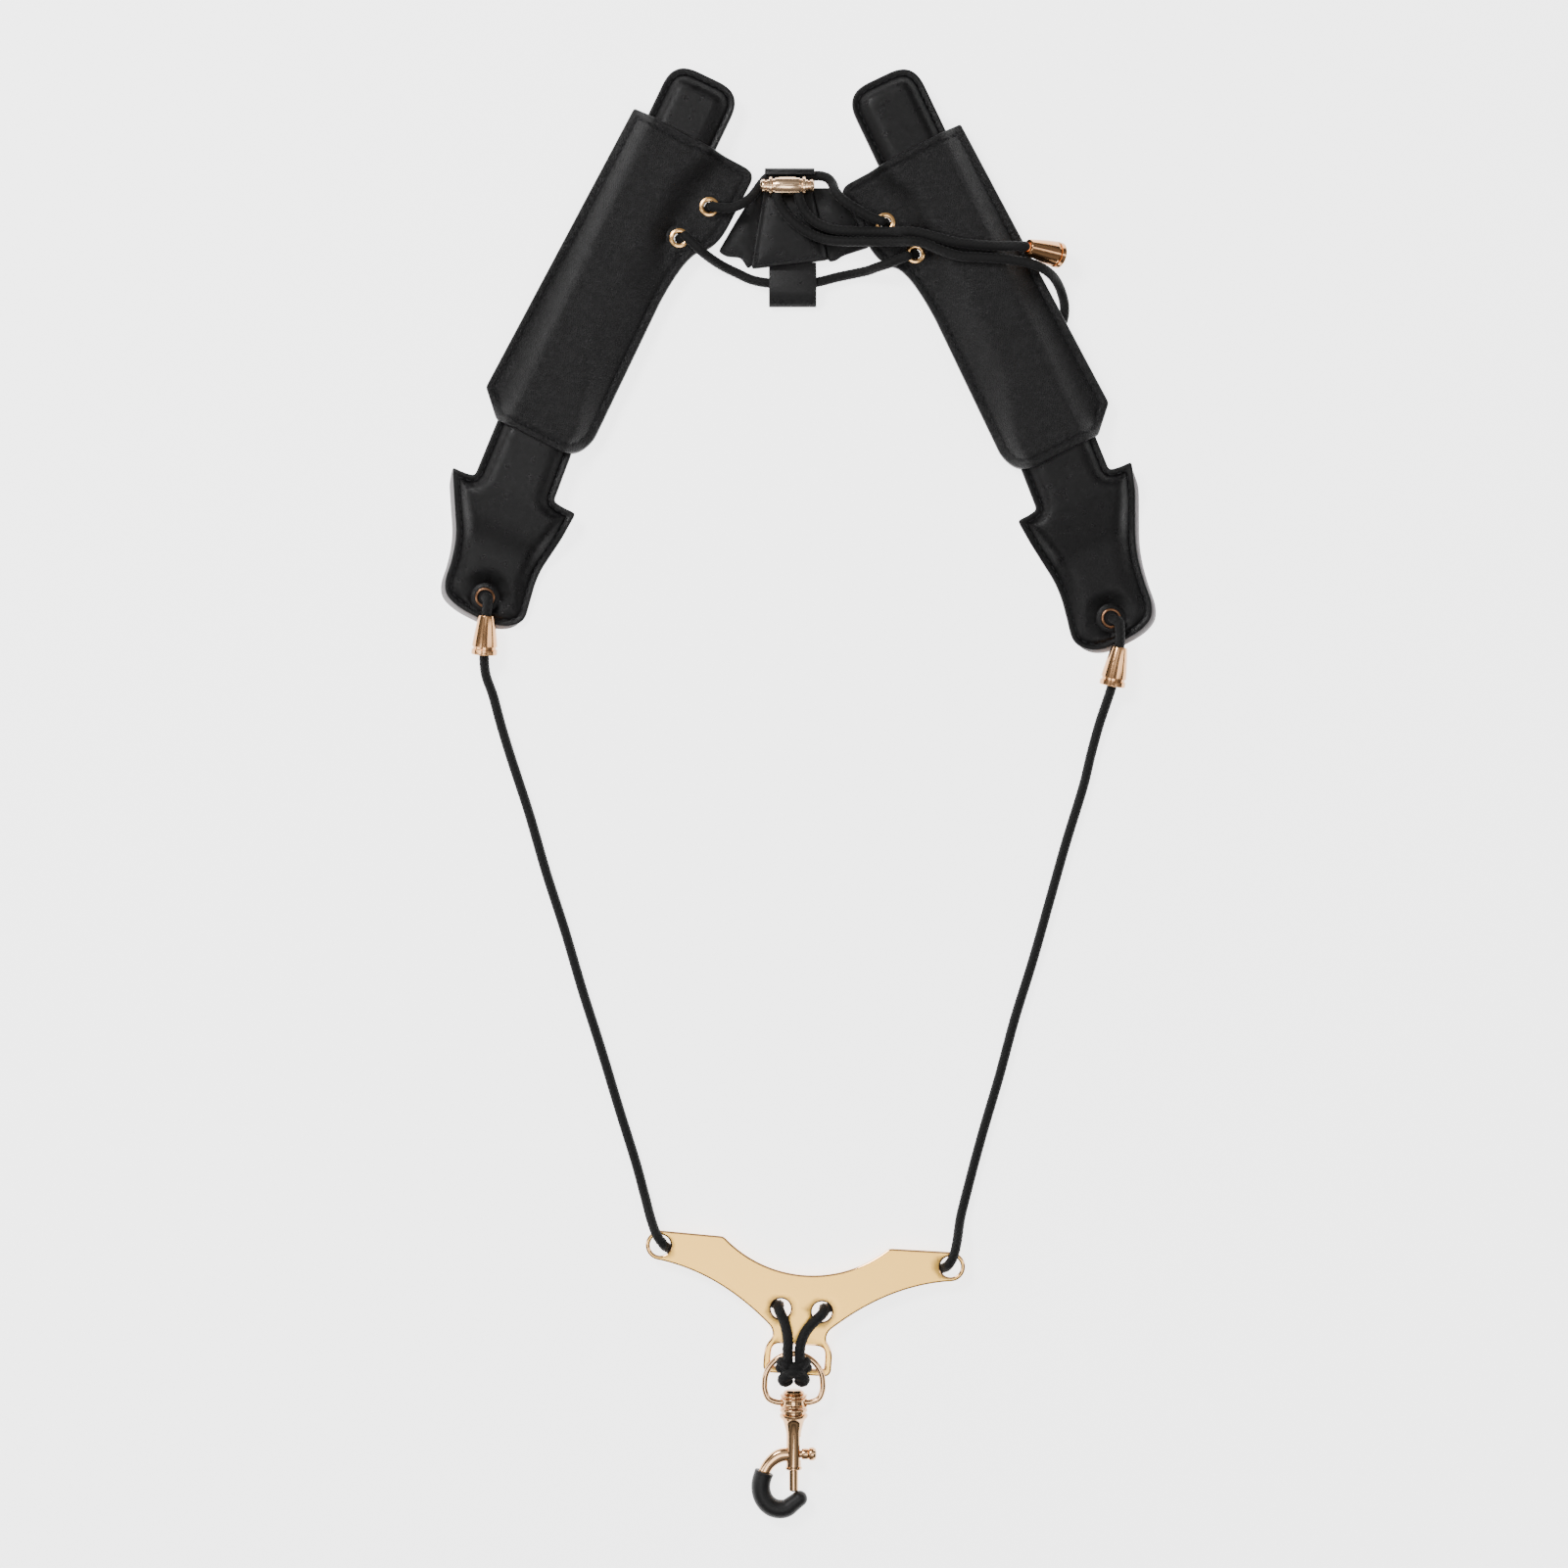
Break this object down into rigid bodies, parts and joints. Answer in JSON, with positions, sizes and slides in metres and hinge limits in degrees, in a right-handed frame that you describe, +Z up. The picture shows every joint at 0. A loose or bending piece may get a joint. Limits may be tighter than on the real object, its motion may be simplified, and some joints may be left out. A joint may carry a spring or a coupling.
{
  "type": "saxophone neck strap",
  "caption": "Double-shoulder saxophone strap with sliding leather pads, a laced back pad, two cords, a metal yoke plate and a swivel snap hook.",
  "frame": {"origin": "middle of the harness's footprint, on the surface it lies on, measured without the free cords", "axes": "+Z up from the surface, +Y from the hook up to the shoulder pads, +X to the right seen from above"},
  "size_m": [0.3026, 0.6196, 0.0201],
  "materials": {
    "leather": "satin fine-grained black leather",
    "lining": "matte black lining leather",
    "foam": "dark grey padding",
    "cord": "braided black polyester",
    "rose_gold": "polished rose gold plating",
    "champagne_metal": "satin champagne gold plating",
    "aged_brass": "aged brass",
    "spring_steel": "drawn spring wire",
    "rubber": "matte black rubber"
  },
  "bodies": {
    "tongues": {"tongue_cover_left": "leather", "tongue_foam_left": "foam", "tongue_lining_left": "lining", "eyelet_tail_left": "aged_brass", "cord_bell_left": "rose_gold", "main_cord_left": "cord", "tongue_cover_right": "leather", "tongue_foam_right": "foam", "tongue_lining_right": "lining", "eyelet_tail_right": "aged_brass", "cord_bell_right": "rose_gold", "main_cord_right": "cord", "bight_left": "cord", "bight_right": "cord", "ring_knot": "cord"},
    "back": {"back_lining": "lining", "back_wing_left": "leather", "back_wing_right": "leather", "back_panel": "leather", "keeper_loop": "leather", "bottom_tab": "leather", "lace_upper_left": "cord", "lace_upper_right": "cord", "lace_lower": "cord", "lace_tail_upper": "cord", "lace_tail_lower": "cord", "lock_barrel": "rose_gold", "lock_spring": "spring_steel"},
    "sleeve_left": {"sleeve_front_left": "leather", "sleeve_back_left": "lining", "eyelet_upper_left": "aged_brass", "eyelet_lower_left": "aged_brass", "lace_behind_left": "cord"},
    "sleeve_right": {"sleeve_front_right": "leather", "sleeve_back_right": "lining", "eyelet_upper_right": "aged_brass", "eyelet_lower_right": "aged_brass", "lace_behind_right": "cord", "lace_tail_end": "cord", "lace_bell": "rose_gold"},
    "lock_left": {"lock_plunger_left": "rose_gold"},
    "lock_right": {"lock_plunger_right": "rose_gold"},
    "yoke": {"yoke_plate": "champagne_metal", "yoke_cord_left": "cord", "yoke_cord_right": "cord", "front_cord_left": "cord", "front_cord_right": "cord"},
    "hook_eye": {"swivel_eye": "rose_gold"},
    "hook": {"hook_body": "rose_gold", "swivel_rivet": "rose_gold", "hook_sleeve": "rubber", "bolt_spring": "spring_steel"},
    "bolt": {"bolt": "rose_gold", "bolt_knob": "rose_gold"}
  },
  "joints": [
    {"name": "pads_slide", "type": "slide", "parent": "tongues", "child": "back", "axis": [0, 1, 0], "range_m": [-0.0135, 0.002]},
    {"name": "sleeve_left_follow", "type": "slide", "parent": "back", "child": "sleeve_left", "axis": [1, 0, 0], "range_m": [-0.0066, 0.0012], "deforming": ["lace_upper_left", "lace_lower"]},
    {"name": "sleeve_right_follow", "type": "slide", "parent": "back", "child": "sleeve_right", "axis": [-1, 0, 0], "range_m": [-0.0066, 0.0012], "deforming": ["lace_upper_right", "lace_tail_end", "lace_tail_upper", "lace_tail_lower"]},
    {"name": "lock_left_press", "type": "slide", "parent": "back", "child": "lock_left", "axis": [1, 0, 0], "range_m": [0, 0.0012], "stiffness_N_per_m": 400, "springref_m": -0.002, "deforming": ["lock_spring"]},
    {"name": "lock_right_press", "type": "slide", "parent": "back", "child": "lock_right", "axis": [-1, 0, 0], "range_m": [0, 0.0012], "stiffness_N_per_m": 400, "springref_m": -0.002},
    {"name": "yoke_slide", "type": "slide", "parent": "tongues", "child": "yoke", "axis": [0, 1, 0], "range_m": [0, 0.04], "deforming": ["main_cord_left", "main_cord_right", "front_cord_left", "front_cord_right"]},
    {"name": "hook_tilt", "type": "hinge", "parent": "tongues", "child": "hook_eye", "pos_m": [-0.00195, -0.23883, 0.008], "axis": [-1, 0, 0], "range_deg": [0, 90]},
    {"name": "hook_swivel", "type": "hinge", "parent": "hook_eye", "child": "hook", "pos_m": [-0.00195, -0.23883, 0.008], "axis": [0, 0.9985, 0.0541], "continuous": true},
    {"name": "bolt_pull", "type": "slide", "parent": "hook", "child": "bolt", "axis": [0, 0.9985, 0.0541], "range_m": [0, 0.006], "stiffness_N_per_m": 250, "springref_m": -0.006, "deforming": ["bolt_spring"]}
  ],
  "couplings": [
    {"joint": "sleeve_left_follow", "follows": "pads_slide", "ratio": 0.477},
    {"joint": "sleeve_right_follow", "follows": "pads_slide", "ratio": 0.477}
  ]
}
